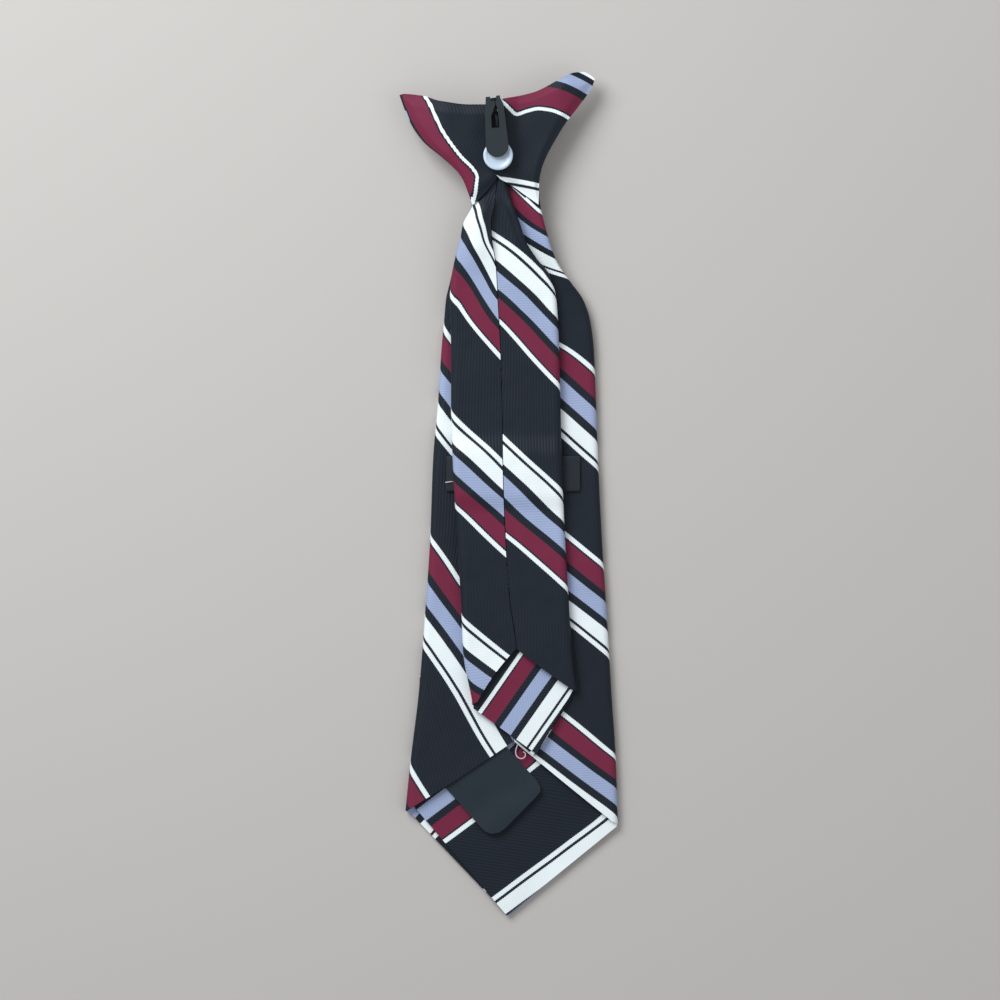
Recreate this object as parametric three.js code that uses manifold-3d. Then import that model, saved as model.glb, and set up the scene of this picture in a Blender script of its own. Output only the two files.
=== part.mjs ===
// A child's clip-on necktie, lying face down: +Z is the back of the tie, +Y its knot.
import * as THREE from 'three';
import Module from 'manifold-3d';
import { mergeVertices } from 'three/addons/utils/BufferGeometryUtils.js';

const wasm = await Module();
wasm.setup();

// Cloth and clearances, mm
const CLOTH = 1.0; // shell cloth with its interlining
const TIPPING = 1.0; // facing cloth inside a blade's point
const WING = 1.2; // folded cloth of a wing
const KEEPER = 1.0; // folded band of the keeper
const LABEL = 1.0; // folded satin of the care label
const GAP = 0.3; // clearance between two pieces that lie on each other

// Wide blade: lengths run down from the mouth of the knot
const BLADE = {
  length: 237, // knot mouth to point
  width: 70.8, // fold to fold at the corners
  point: 34.3, // corners to point
  skew: 3.3, // how much higher the left corner lies
  opening: 24, // corners up to where the two flaps meet
  pointShift: -0.013, // share of the width that the point lies off the axis
};

// Narrow blade, the tail
const TAIL = {
  length: 184,
  width: 35,
  point: 18.8,
  skew: -7.7,
  opening: 17.5,
  pointShift: 0.269,
};

// Knot
const KNOT_HEIGHT = 32.6;
const KNOT_WIDTH = 36.6; // at its top
const KNOT_LIP = 4.2; // depth of the wrap in front of the blades
const KNOT_CROWN = 2.1; // rounding of the knot's top edge
const NECK_TUCK = 11; // how far the blades run up inside the knot
const PLEAT = { height: 1.8, slope: 5.4, start: 7, end: 31 }; // the wide blade's right fold beside the tail

// Wings: reach is measured sideways from the axis, height up from the knot's mouth
const LEFT_WING = { reach: 36.3, height: 36.3, droop: 4.5 };
const RIGHT_WING = { reach: 28.7, height: 44, droop: 3 };
const WING_STEP = 5; // width of the slope where the right wing comes down off the left one

// Keeper, label
const KEEPER_SPAN = 44.6;
const KEEPER_WIDTH = 12;
const KEEPER_DROP = 89.6; // knot mouth to the keeper's middle
const KEEPER_SHIFT = 1.4;
const HUMP_SLOPE = 7; // how far the tail takes to come down off the keeper
const LABEL_WIDTH = 25.6;
const LABEL_DROP = 22.6;
const LABEL_SHORT = 1.5; // how far the label ends short of the flaps' meeting point
const HEM = 3.2; // widest strip of front cloth that is turned in round the wide blade's point
const THIN_HEM = 1.6; // the strip along its other side and round the tail's point
const FACING_RUN_UP = 22; // how far the facing runs up past where the flaps part
const TAIL_FACING_RUN_UP = 16;

// Clip
const CLIP_TURN = 5.23; // degrees in plan
const CLIP_PLACE = { side: -3.57, up: 16.0 }; // the pad's middle, from the axis and the knot's mouth
const LEVER_LENGTH = 20.35;
const LEVER_BELOW_PAD = 0.65; // round end below the pad's middle
const LEVER_WIDTH = 7.5; // at the round end
const LEVER_SHOULDER = { width: 6.3, up: 16.2 }; // where it starts to narrow to the press end
const LEVER_NECK = 4.7; // at the press end
const LEVER_PLATE = 1.2;
const SLOT = { width: 2.6, low: 9.1, high: 16.6 };
const NOTCH = { width: 2.0, depth: 1.7 };
const BASE_PLATE = 1.0;
const BASE_WIDTH = 4.4;
const BASE_LENGTH = 21.9;
const BASE_BELOW_PAD = 2.7; // plate's end below the pad's middle
const PAD_RADIUS = 4.92;
const PAD_HEIGHT = 1.5;
const PIVOT_UP = 14.8; // pad's middle to the pin
const PIN_RADIUS = 0.5;
const PIN_CLEARANCE = 0.1;
const BOSS_RADIUS = 1.0;
const BOSS_SPAN = 5.2; // over both lugs of the tongue
const EAR = { width: 1.4, length: 3 };

// Levels, worked out upward from the face of the tie
const INSIDE = TIPPING + 2 * GAP; // room between a blade's front wall and its flaps
const FOLD_RADIUS = CLOTH + INSIDE / 2; // of the blades' side folds
const FOLDED = 2 * CLOTH + GAP; // a blade pressed flat in the knot
const BLADE_TOP = 2 * CLOTH + INSIDE;
const KNOT_BACK = KNOT_LIP + 2 * (FOLDED + GAP);
const WING_LEVEL = KNOT_BACK + GAP;
const CLIP_LEVEL = WING_LEVEL + 2 * (WING + GAP);
const PIVOT_LEVEL = BASE_PLATE + GAP + BOSS_RADIUS;
const LEVER_LEVEL = BASE_PLATE + 2 * GAP + PAD_HEIGHT;

// Sections of the blades. "at" is a share of the drop from the knot's mouth to the corners,
// left, right and seam are shares of the blade's width from the axis,
// rise is a share of the climb into the knot, full a share of the room inside.
const BLADE_SECTIONS = [
  { at: -0.056, left: -0.164, right: 0.128, seam: -0.041, rise: 1, full: 0 },
  { at: 0, left: -0.173, right: 0.147, seam: -0.027, rise: 1, full: 0 },
  { at: 0.058, left: -0.22, right: 0.189, seam: -0.018, rise: 0.86, full: 0.1 },
  { at: 0.094, left: -0.253, right: 0.227, seam: -0.01, rise: 0.68, full: 0.25 },
  { at: 0.128, left: -0.277, right: 0.293, seam: -0.006, rise: 0.47, full: 0.45 },
  { at: 0.156, left: -0.296, right: 0.349, seam: -0.004, rise: 0.3, full: 0.65 },
  { at: 0.189, left: -0.305, right: 0.382, seam: -0.003, rise: 0.15, full: 0.85 },
  { at: 0.238, left: -0.317, right: 0.401, seam: 0, rise: 0.04, full: 1 },
  { at: 0.321, left: -0.333, right: 0.41, seam: 0.006, rise: 0, full: 1 },
  { at: 0.419, left: -0.357, right: 0.42, seam: 0.009, rise: 0, full: 1 },
  { at: 0.551, left: -0.371, right: 0.439, seam: 0.013, rise: 0, full: 1 },
  { at: 0.666, left: -0.394, right: 0.46, seam: 0.016, rise: 0, full: 1 },
  { at: 0.798, left: -0.423, right: 0.483, seam: 0.02, rise: 0, full: 1 },
  { at: 0.913, left: -0.463, right: 0.504, seam: 0.024, rise: 0, full: 1 },
  { at: 1, left: -0.488, right: 0.512, seam: 0.024, rise: 0, full: 1 },
];

const TAIL_SECTIONS = [
  { at: -0.069, left: -0.293, right: -0.055, seam: -0.17, full: 0 },
  { at: 0, left: -0.341, right: 0.04, seam: -0.17, full: 0 },
  { at: 0.04, left: -0.436, right: 0.107, seam: -0.179, full: 0.1 },
  { at: 0.071, left: -0.465, right: 0.154, seam: -0.16, full: 0.2 },
  { at: 0.111, left: -0.512, right: 0.269, seam: -0.131, full: 0.4 },
  { at: 0.141, left: -0.541, right: 0.383, seam: -0.117, full: 0.6 },
  { at: 0.192, left: -0.56, right: 0.454, seam: -0.103, full: 0.9 },
  { at: 0.293, left: -0.55, right: 0.478, seam: -0.079, full: 1 },
  { at: 0.414, left: -0.55, right: 0.492, seam: -0.065, full: 1 },
  { at: 0.535, left: -0.531, right: 0.507, seam: -0.055, full: 1 },
  { at: 0.677, left: -0.493, right: 0.535, seam: -0.031, full: 1 },
  { at: 0.798, left: -0.455, right: 0.569, seam: 0.011, full: 1 },
  { at: 0.899, left: -0.436, right: 0.602, seam: 0.069, full: 1 },
  { at: 1, left: -0.35, right: 0.665, seam: 0.069, full: 1 },
];

// Sections of the knot, up from its mouth: left and right are shares of its width,
// front is a share of the lip's depth by which the wrap curves up off the table.
const KNOT_SECTIONS = [
  { at: 0, left: -0.302, right: 0.25, front: 0.36 },
  { at: 0.04, left: -0.312, right: 0.262, front: 0.1 },
  { at: 0.2, left: -0.328, right: 0.268, front: 0 },
  { at: 0.45, left: -0.391, right: 0.314, front: 0 },
  { at: 0.7, left: -0.464, right: 0.388, front: 0 },
  { at: 0.9, left: -0.525, right: 0.451, front: 0.12 },
  { at: 1, left: -0.52, right: 0.448, front: 0.75 },
];

// Edges of the wings, as shares of their reach and height
const LEFT_WING_EDGES = {
  bottom: [[-0.107, 0.248], [-0.215, 0.107], [-0.328, -0.008]],
  top: [[-0.08, 0.912], [-0.229, 0.909], [-0.355, 0.909], [-0.631, 0.945], [-0.78, 0.992],
    [-0.961, 1.011], [-1, 1]],
  inner: [[-0.107, 0.248], [-0.069, 0.397], [-0.041, 0.59], [-0.05, 0.755], [-0.08, 0.912]],
  outer: [[-0.328, -0.008], [-0.355, 0.063], [-0.43, 0.248], [-0.587, 0.413], [-0.769, 0.57],
    [-0.906, 0.763], [-1, 1]],
};

const RIGHT_WING_EDGES = {
  bottom: [[-0.101, 0.189], [0.024, 0.143], [0.185, 0.068], [0.345, -0.005]],
  top: [[-0.066, 0.795], [0.129, 0.818], [0.303, 0.848], [0.477, 0.902], [0.617, 0.955],
    [0.77, 0.995], [0.861, 1], [0.944, 0.977], [1, 0.948]],
  inner: [[-0.101, 0.189], [-0.195, 0.266], [-0.23, 0.361], [-0.24, 0.464], [-0.22, 0.6],
    [-0.139, 0.725], [-0.066, 0.795]],
  outer: [[0.345, -0.005], [0.352, 0.152], [0.373, 0.25], [0.422, 0.341], [0.561, 0.507],
    [0.652, 0.607], [0.805, 0.734], [0.965, 0.886], [1, 0.948]],
};

// Outline of the label: along the sewn edge and away from it, as shares of its two sizes
const LABEL_OUTLINE = [[0, 0], [1, 0], [1.02, 0.806], [0.355, 1], [0.134, 0.878]];

// Grid of each blade: columns over a flap, a fold and the front wall, rows over the point
const BLADE_GRID = { flap: 4, fold: 3, front: 10, point: 6 };
const TAIL_GRID = { flap: 3, fold: 3, front: 6, point: 4 };
const KNOT_GRID = { around: 28, roundness: 0.72, step: 0.02, extra: [0.12, 0.6, 0.8, 0.96] };
const WING_GRID = { up: 10, across: 11 };
const FACING_STEPS = 4; // straight steps down each side of a facing
const ABOVE_OPENING = 5; // the last level row lies this far above where the flaps part
const NECK_ROWS = 0.2; // share of the drop below the knot where rows lie twice as close

// Materials
const STRIPED = { color: 0x2b323a, roughness: 0.55, metalness: 0 };
const FACING = { color: 0x3a3f52, roughness: 0.6, metalness: 0 };
const BLACK_CLOTH = { color: 0x2d353b, roughness: 0.7, metalness: 0 };
const BLACK_PLASTIC = { color: 0x23282c, roughness: 0.4, metalness: 0 };
const PALE_PLASTIC = { color: 0xcadcf1, roughness: 0.35, metalness: 0 };
const STEEL = { color: 0x8a8d90, roughness: 0.35, metalness: 1 };

const tie = new THREE.Group();

function add(name, geometry, material, parent = tie) {
  const mesh = new THREE.Mesh(geometry, new THREE.MeshStandardMaterial(material));
  mesh.name = name;
  parent.add(mesh);
  return mesh;
}

// Smooth value of one column of a table at any place along it, held level past its ends.
// It never swings past the values of the rows on either side.
function along(table, column, at) {
  const last = table.length - 1;
  if (at <= table[0].at) return table[0][column];
  if (at >= table[last].at) return table[last][column];
  const i = table.findIndex((row) => row.at > at) - 1;
  const grade = (k) => (table[k + 1][column] - table[k][column]) / (table[k + 1].at - table[k].at);
  const slope = (k) => {
    if (k === 0) return grade(0);
    if (k === last) return grade(last - 1);
    const [a, b] = [grade(k - 1), grade(k)];
    return a * b > 0 ? (2 * a * b) / (a + b) : 0;
  };
  const step = table[i + 1].at - table[i].at;
  const t = (at - table[i].at) / step;
  const rise = table[i + 1][column] - table[i][column];
  const inward = slope(i) * step;
  const outward = slope(i + 1) * step;
  return table[i][column] + t * inward + t * t * (3 * rise - 2 * inward - outward)
    + t * t * t * (inward + outward - 2 * rise);
}

const mix = THREE.MathUtils.lerp;
const ease = THREE.MathUtils.smoothstep;

// Turns a list of points and triangles into a geometry whose faces point out.
function closedBody(points, triangles) {
  const a = new THREE.Vector3();
  let volume = 0;
  for (const [i, j, k] of triangles) {
    volume += points[i].dot(a.crossVectors(points[j], points[k]));
  }
  const geometry = new THREE.BufferGeometry();
  geometry.setFromPoints(points);
  geometry.setIndex(triangles.flatMap(([i, j, k]) => (volume < 0 ? [i, k, j] : [i, j, k])));
  geometry.computeVertexNormals();
  return geometry;
}

// A wall of cloth: two grids of points, its outer and inner faces, closed round the edge.
function clothWall(outer, inner) {
  const rows = outer.length;
  const columns = outer[0].length;
  const points = [...outer.flat(), ...inner.flat()];
  const out = (i, j) => i * columns + j;
  const inn = (i, j) => (rows + i) * columns + j;
  const triangles = [];
  const quad = (a, b, c, d) => triangles.push([a, b, c], [a, c, d]);
  for (let i = 0; i < rows - 1; i += 1) {
    for (let j = 0; j < columns - 1; j += 1) {
      quad(out(i, j), out(i, j + 1), out(i + 1, j + 1), out(i + 1, j));
      quad(inn(i, j), inn(i + 1, j), inn(i + 1, j + 1), inn(i, j + 1));
    }
    quad(out(i, 0), out(i + 1, 0), inn(i + 1, 0), inn(i, 0));
    quad(out(i + 1, columns - 1), out(i, columns - 1), inn(i, columns - 1), inn(i + 1, columns - 1));
  }
  for (let j = 0; j < columns - 1; j += 1) {
    quad(out(0, j + 1), out(0, j), inn(0, j), inn(0, j + 1));
    quad(out(rows - 1, j), out(rows - 1, j + 1), inn(rows - 1, j + 1), inn(rows - 1, j));
  }
  return closedBody(points, triangles);
}

// Places along the tie, Y up to the knot, with the knot's mouth at zero here
const drop = (blade) => blade.length - blade.point;
const leftCorner = (blade) => -drop(blade) + blade.skew / 2;
const rightCorner = (blade) => -drop(blade) - blade.skew / 2;
const apex = (blade) => -drop(blade) + blade.opening;

const bladeRise = (y) => (KNOT_LIP + GAP) * along(BLADE_SECTIONS, 'rise', -y / drop(BLADE));
const roomIn = (table, at) => mix(GAP, INSIDE, along(table, 'full', at));
const bladeTop = (y) => bladeRise(y) + 2 * CLOTH + roomIn(BLADE_SECTIONS, -y / drop(BLADE));

const tailRight = (y) => TAIL.width * along(TAIL_SECTIONS, 'right', -y / drop(TAIL));

// The wide blade climbs into the knot, and its right fold stands up beside the tail.
function bladeLevel(x, y) {
  const beside = ease(x, tailRight(y) + GAP, tailRight(y) + PLEAT.slope);
  const fade = 1 - ease(-y, PLEAT.start, PLEAT.end);
  return bladeRise(y) + PLEAT.height * beside * fade;
}

// The tail lies on the wide blade and humps over the keeper.
const humpEnds = [KEEPER_WIDTH / 2 + GAP, KEEPER_WIDTH / 2 + GAP + HUMP_SLOPE];

function tailLevel(x, y) {
  const hump = (KEEPER + GAP) * (1 - ease(Math.abs(y + KEEPER_DROP), ...humpEnds));
  return bladeTop(y) + GAP + hump;
}

// Heights of the grid rows above the opening: the table's sections, twice as close in the neck,
// and the rows that a piece lying on or under the blade asks for.
function levelRows(blade, table, end, asked) {
  const heights = table.map((row) => -row.at * drop(blade));
  const halved = heights.slice(1).map((y, k) => (y + heights[k]) / 2);
  const neck = halved.filter((y) => y > -NECK_ROWS * drop(blade));
  const own = [...heights, ...neck].filter((y) => asked.every((other) => Math.abs(other - y) > CLOTH));
  return [...own, ...asked].filter((y) => y > end + CLOTH).sort((a, b) => b - a).concat(end);
}

// One cloth folded round both sides so that its edges meet down the middle of the back.
function envelope(blade, table, level, counts, asked = []) {
  const tipSide = 0.5 + blade.pointShift;
  const even = (count) => Array.from({ length: count }, (_, k) => k / count);
  const beforeTip = Math.round(counts.front * tipSide);
  const front = [
    ...even(beforeTip).map((u) => u * tipSide),
    ...even(counts.front - beforeTip).map((u) => mix(tipSide, 1, u)),
  ];
  const zones = {
    leftFlap: even(counts.flap),
    leftFold: even(counts.fold),
    front,
    rightFold: even(counts.fold),
    rightFlap: [...even(counts.flap), 1],
  };
  const columns = Object.entries(zones).flatMap(([zone, list]) => list.map((u) => ({ zone, u })));
  const end = apex(blade) + ABOVE_OPENING;
  const rows = levelRows(blade, table, end, asked).map((y) => () => y);
  for (let k = 1; k <= counts.point; k += 1) rows.push((bottom) => mix(end, bottom, k / counts.point));
  const hem = {
    leftFlap: (u) => mix(apex(blade), leftCorner(blade), u),
    leftFold: (u) => leftCorner(blade) - FOLD_RADIUS * u,
    front: (u) => (u < tipSide
      ? mix(leftCorner(blade) - FOLD_RADIUS, -blade.length, u / tipSide)
      : mix(-blade.length, rightCorner(blade) - FOLD_RADIUS, (u - tipSide) / (1 - tipSide))),
    rightFold: (u) => rightCorner(blade) - FOLD_RADIUS * (1 - u),
    rightFlap: (u) => mix(rightCorner(blade), apex(blade), u),
  };

  function place({ zone, u }, y, depth) {
    const at = -y / drop(blade);
    const left = blade.width * along(table, 'left', at);
    const right = blade.width * along(table, 'right', at);
    const seam = blade.width * along(table, 'seam', at);
    const height = 2 * CLOTH + roomIn(table, at);
    const r = height / 2;
    const [out, up] = [(r - depth) * Math.sin(Math.PI * u), (r - depth) * Math.cos(Math.PI * u)];
    const across = {
      leftFlap: () => [mix(seam - GAP / 2, left + r, u), height - depth],
      leftFold: () => [left + r - out, r + up],
      front: () => [mix(left + r, right - r, u), depth],
      rightFold: () => [right - r + out, r - up],
      rightFlap: () => [mix(right - r, seam + GAP / 2, u), height - depth],
    };
    const [x, z] = across[zone]();
    return new THREE.Vector3(x, y, z + level(x, y));
  }

  const face = (depth) => rows.map((row) => columns.map((column) => (
    place(column, row(hem[column.zone](column.u)), depth)
  )));
  return clothWall(face(0), face(CLOTH));
}

function plate(outline, thickness) {
  const shape = new THREE.Shape(outline.map(([x, y]) => new THREE.Vector2(x, y)));
  return new THREE.ExtrudeGeometry(shape, { depth: thickness, bevelEnabled: false, curveSegments: 16 });
}

// Facing cloth: it fills the point of a blade and runs up under the flaps.
function facing(blade, table, runUp, hems) {
  const clear = CLOTH + 2 * GAP;
  const upper = apex(blade) + runUp;
  const side = (column, sign, corner, hem) => Array.from({ length: FACING_STEPS + 1 }, (_, k) => {
    const y = mix(upper, corner - hem / 2, k / FACING_STEPS);
    const inset = k === FACING_STEPS ? Math.max(hem, clear) : clear;
    return [blade.width * along(table, column, -y / drop(blade)) - sign * inset, y];
  });
  const point = blade.width * (blade.pointShift + (table.at(-1).left + table.at(-1).right) / 2);
  const outline = [
    ...side('left', -1, leftCorner(blade), hems.left),
    [point, -blade.length + hems.point],
    ...side('right', 1, rightCorner(blade), hems.right).reverse(),
  ];
  return plate(outline, TIPPING);
}

// Knot: the padded wrap, thin in front of the blades and full above their ends
function knotWrap() {
  const around = KNOT_GRID.around;
  const shelf = (NECK_TUCK + GAP) / KNOT_HEIGHT;
  const rising = KNOT_SECTIONS.map((row) => row.at);
  const stations = [...rising, shelf, shelf + KNOT_GRID.step, ...KNOT_GRID.extra].sort((a, b) => a - b);
  const bend = (value) => Math.sign(value) * Math.abs(value) ** KNOT_GRID.roundness;
  const rings = stations.map((at) => {
    const left = KNOT_WIDTH * along(KNOT_SECTIONS, 'left', at);
    const right = KNOT_WIDTH * along(KNOT_SECTIONS, 'right', at);
    const front = KNOT_LIP * along(KNOT_SECTIONS, 'front', at);
    const rounding = KNOT_CROWN * ease(at, KNOT_SECTIONS.at(-2).at, 1);
    const back = (at > shelf ? KNOT_BACK : KNOT_LIP) - rounding;
    return Array.from({ length: around }, (_, k) => {
      const angle = (2 * Math.PI * k) / around;
      const x = (left + right) / 2 + ((right - left) / 2) * bend(Math.cos(angle));
      const z = (front + back) / 2 + ((back - front) / 2) * bend(Math.sin(angle));
      return new THREE.Vector3(x, at * KNOT_HEIGHT, z);
    });
  });
  const ends = [rings[0], rings.at(-1)].map((ring) => {
    const middle = new THREE.Vector3();
    ring.forEach((point) => middle.add(point));
    return middle.divideScalar(around);
  });
  const points = [...rings.flat(), ...ends];
  const lastRing = (rings.length - 1) * around;
  const triangles = [];
  for (let k = 0; k < around; k += 1) {
    const next = (k + 1) % around;
    for (let i = 0; i < rings.length - 1; i += 1) {
      const low = i * around;
      const high = low + around;
      triangles.push([low + k, low + next, high + next], [low + k, high + next, high + k]);
    }
    triangles.push([points.length - 2, next, k]);
    triangles.push([points.length - 1, lastRing + k, lastRing + next]);
  }
  return closedBody(points, triangles);
}

// A sheet stretched between four edges, each a smooth curve through its few points
function wing(edges, size, level, counts) {
  const curve = (list) => new THREE.CatmullRomCurve3(
    list.map(([x, y]) => new THREE.Vector3(x * size.reach, y * size.height, 0)),
  );
  const bottom = curve(edges.bottom);
  const top = curve(edges.top);
  const inner = curve(edges.inner);
  const outer = curve(edges.outer);
  const corner = { a: bottom.getPoint(0), b: bottom.getPoint(1), c: top.getPoint(0), d: top.getPoint(1) };
  const face = (lift) => Array.from({ length: counts.up + 1 }, (_, i) => {
    const v = i / counts.up;
    return Array.from({ length: counts.across + 1 }, (__, j) => {
      const u = j / counts.across;
      const point = bottom.getPointAt(u).multiplyScalar(1 - v)
        .addScaledVector(top.getPointAt(u), v)
        .addScaledVector(inner.getPointAt(v), 1 - u)
        .addScaledVector(outer.getPointAt(v), u)
        .addScaledVector(corner.a, -(1 - u) * (1 - v))
        .addScaledVector(corner.b, -u * (1 - v))
        .addScaledVector(corner.c, -(1 - u) * v)
        .addScaledVector(corner.d, -u * v);
      point.z = level(point.x) + lift;
      return point;
    });
  });
  return clothWall(face(WING), face(0));
}

// Wings lie flat on the knot and droop past its sides.
function droop(x, size, edge) {
  return size.droop * ease(Math.abs(x), Math.abs(edge), size.reach);
}

const knotSide = (column) => KNOT_WIDTH * KNOT_SECTIONS.at(-2)[column];
const leftWingLevel = (x) => WING_LEVEL - droop(x, LEFT_WING, knotSide('left'));

function rightWingLevel(x) {
  const past = LEFT_WING.reach * Math.max(...LEFT_WING_EDGES.inner.map(([x]) => x)) + GAP;
  const over = (WING + GAP) * (1 - ease(x, past, past + WING_STEP));
  return WING_LEVEL + over - (x > 0 ? droop(x, RIGHT_WING, knotSide('right')) : 0);
}

// Solids for cutting and joining
function solid(geometry) {
  const bare = geometry.clone();
  bare.deleteAttribute('normal');
  bare.deleteAttribute('uv');
  const merged = mergeVertices(bare, 1e-4);
  return new wasm.Manifold(new wasm.Mesh({
    numProp: 3,
    vertProperties: new Float32Array(merged.attributes.position.array),
    triVerts: new Uint32Array(merged.index.array),
  }));
}

function shown(body) {
  const mesh = body.getMesh();
  const geometry = new THREE.BufferGeometry();
  geometry.setAttribute('position', new THREE.BufferAttribute(mesh.vertProperties, 3));
  geometry.setIndex(new THREE.BufferAttribute(mesh.triVerts, 1));
  geometry.computeVertexNormals();
  return geometry;
}

function block(width, length, height, x, y, z) {
  return solid(new THREE.BoxGeometry(width, length, height).translate(x, y, z + height / 2));
}

// A round bar along X through the pivot
function crossBar(radius, length) {
  const bar = new THREE.CylinderGeometry(radius, radius, length, 24);
  return bar.rotateZ(Math.PI / 2).translate(0, PIVOT_UP, PIVOT_LEVEL);
}

function leverBody() {
  const end = LEVER_WIDTH / 2;
  const top = LEVER_LENGTH - LEVER_BELOW_PAD;
  const shape = new THREE.Shape();
  shape.absarc(0, end - LEVER_BELOW_PAD, end, Math.PI, 2 * Math.PI, false);
  shape.lineTo(LEVER_SHOULDER.width / 2, LEVER_SHOULDER.up);
  shape.lineTo(LEVER_NECK / 2, top);
  shape.lineTo(-LEVER_NECK / 2, top);
  shape.lineTo(-LEVER_SHOULDER.width / 2, LEVER_SHOULDER.up);
  const flat = new THREE.ExtrudeGeometry(shape, {
    depth: LEVER_PLATE, bevelEnabled: false, curveSegments: 20,
  }).translate(0, 0, LEVER_LEVEL);
  const webHeight = LEVER_LEVEL + LEVER_PLATE / 2 - PIVOT_LEVEL;
  const web = block(BOSS_SPAN, 2 * BOSS_RADIUS, webHeight, 0, PIVOT_UP, PIVOT_LEVEL);
  const tall = LEVER_LEVEL + LEVER_PLATE;
  const slotLength = SLOT.high - SLOT.low;
  const slot = block(SLOT.width, slotLength, 2 * tall, 0, SLOT.low + slotLength / 2, -tall / 2);
  const notch = block(NOTCH.width, 2 * NOTCH.depth, 2 * tall, 0, top, -tall / 2);
  return solid(flat)
    .add(solid(crossBar(BOSS_RADIUS, BOSS_SPAN)))
    .add(web)
    .subtract(slot)
    .subtract(notch)
    .subtract(solid(crossBar(PIN_RADIUS + PIN_CLEARANCE, 2 * BOSS_SPAN)));
}

function baseBody() {
  const foot = block(BASE_WIDTH, BASE_LENGTH, BASE_PLATE, 0, BASE_LENGTH / 2 - BASE_BELOW_PAD, 0);
  const ear = block(EAR.width, EAR.length, PIVOT_LEVEL, 0, PIVOT_UP, 0);
  const round = new THREE.CylinderGeometry(EAR.length / 2, EAR.length / 2, EAR.width, 24);
  const crown = round.rotateZ(Math.PI / 2).translate(0, PIVOT_UP, PIVOT_LEVEL);
  const hole = solid(crossBar(PIN_RADIUS + PIN_CLEARANCE, 2 * EAR.width));
  return foot.add(ear).add(solid(crown)).subtract(hole);
}

// Wide blade with its facing, keeper and label
add('front_blade', envelope(BLADE, BLADE_SECTIONS, bladeLevel, BLADE_GRID), STRIPED);
const bladeHems = { left: HEM, right: THIN_HEM, point: CLOTH };
const bladeFacing = facing(BLADE, BLADE_SECTIONS, FACING_RUN_UP, bladeHems);
add('front_tipping', bladeFacing, FACING).position.z = CLOTH + GAP;

const keeper = add('keeper_loop', plate([
  [-KEEPER_SPAN / 2, -KEEPER_WIDTH / 2],
  [KEEPER_SPAN / 2, -KEEPER_WIDTH / 2],
  [KEEPER_SPAN / 2, KEEPER_WIDTH / 2],
  [-KEEPER_SPAN / 2, KEEPER_WIDTH / 2],
], KEEPER), BLACK_CLOTH);
keeper.position.set(KEEPER_SHIFT, -KEEPER_DROP, BLADE_TOP + GAP);

// The label hangs from the left flap's hem: its sewn edge runs along that hem.
const hemStart = new THREE.Vector2(BLADE.width * BLADE_SECTIONS.at(-1).left + FOLD_RADIUS, leftCorner(BLADE));
const hemEnd = new THREE.Vector2(BLADE.width * BLADE_SECTIONS.at(-1).seam, apex(BLADE));
const hemLine = hemEnd.clone().sub(hemStart);
const labelTurn = hemLine.angle();
const labelStart = hemEnd.clone().addScaledVector(hemLine.normalize(), -LABEL_WIDTH - LABEL_SHORT);
const label = add('care_label', plate(
  LABEL_OUTLINE.map(([x, y]) => [x * LABEL_WIDTH, -y * LABEL_DROP - 2 * GAP]).reverse(),
  LABEL,
), BLACK_CLOTH);
label.position.set(labelStart.x, labelStart.y, CLOTH + 2 * GAP + TIPPING);
label.rotation.z = labelTurn;

// Tail with its facing
const humpRows = humpEnds.flatMap((away) => [-KEEPER_DROP - away, -KEEPER_DROP + away]);
add('tail_blade', envelope(TAIL, TAIL_SECTIONS, tailLevel, TAIL_GRID, humpRows), STRIPED);
const tailHems = { left: THIN_HEM, right: THIN_HEM, point: CLOTH };
const tailFacing = facing(TAIL, TAIL_SECTIONS, TAIL_FACING_RUN_UP, tailHems);
add('tail_tipping', tailFacing, FACING).position.z = BLADE_TOP + CLOTH + 2 * GAP;

// Knot and wings
add('knot_band', knotWrap(), STRIPED);
add('left_wing', wing(LEFT_WING_EDGES, LEFT_WING, leftWingLevel, WING_GRID), STRIPED);
add('right_wing', wing(RIGHT_WING_EDGES, RIGHT_WING, rightWingLevel, WING_GRID), STRIPED);

// Clip, in its own turned group: its frame starts at the pad's middle on the wings
const clip = new THREE.Group();
clip.position.set(CLIP_PLACE.side, CLIP_PLACE.up, CLIP_LEVEL);
clip.rotation.z = THREE.MathUtils.degToRad(CLIP_TURN);
tie.add(clip);
add('clip_base', shown(baseBody()), BLACK_PLASTIC, clip);
add('clip_lever', shown(leverBody()), BLACK_PLASTIC, clip);
add('clip_pin', crossBar(PIN_RADIUS, BOSS_SPAN), STEEL, clip);
const pad = new THREE.CylinderGeometry(PAD_RADIUS, PAD_RADIUS, PAD_HEIGHT, 40).rotateX(Math.PI / 2);
add('clip_pad', pad, PALE_PLASTIC, clip).position.z = BASE_PLATE + GAP + PAD_HEIGHT / 2;

// The part's frame: the middle of the whole tie, on the table
tie.updateMatrixWorld(true);
const box = new THREE.Box3().setFromObject(tie, true);
const middle = box.getCenter(new THREE.Vector3());
tie.position.set(-middle.x, -middle.y, -box.min.z);

export default tie;
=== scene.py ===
# A child's clip-on necktie, lying on its face so that its folded back, its wings and its collar clip show.
import math

import bmesh
import bpy
from mathutils import Matrix, Vector, noise


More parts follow.
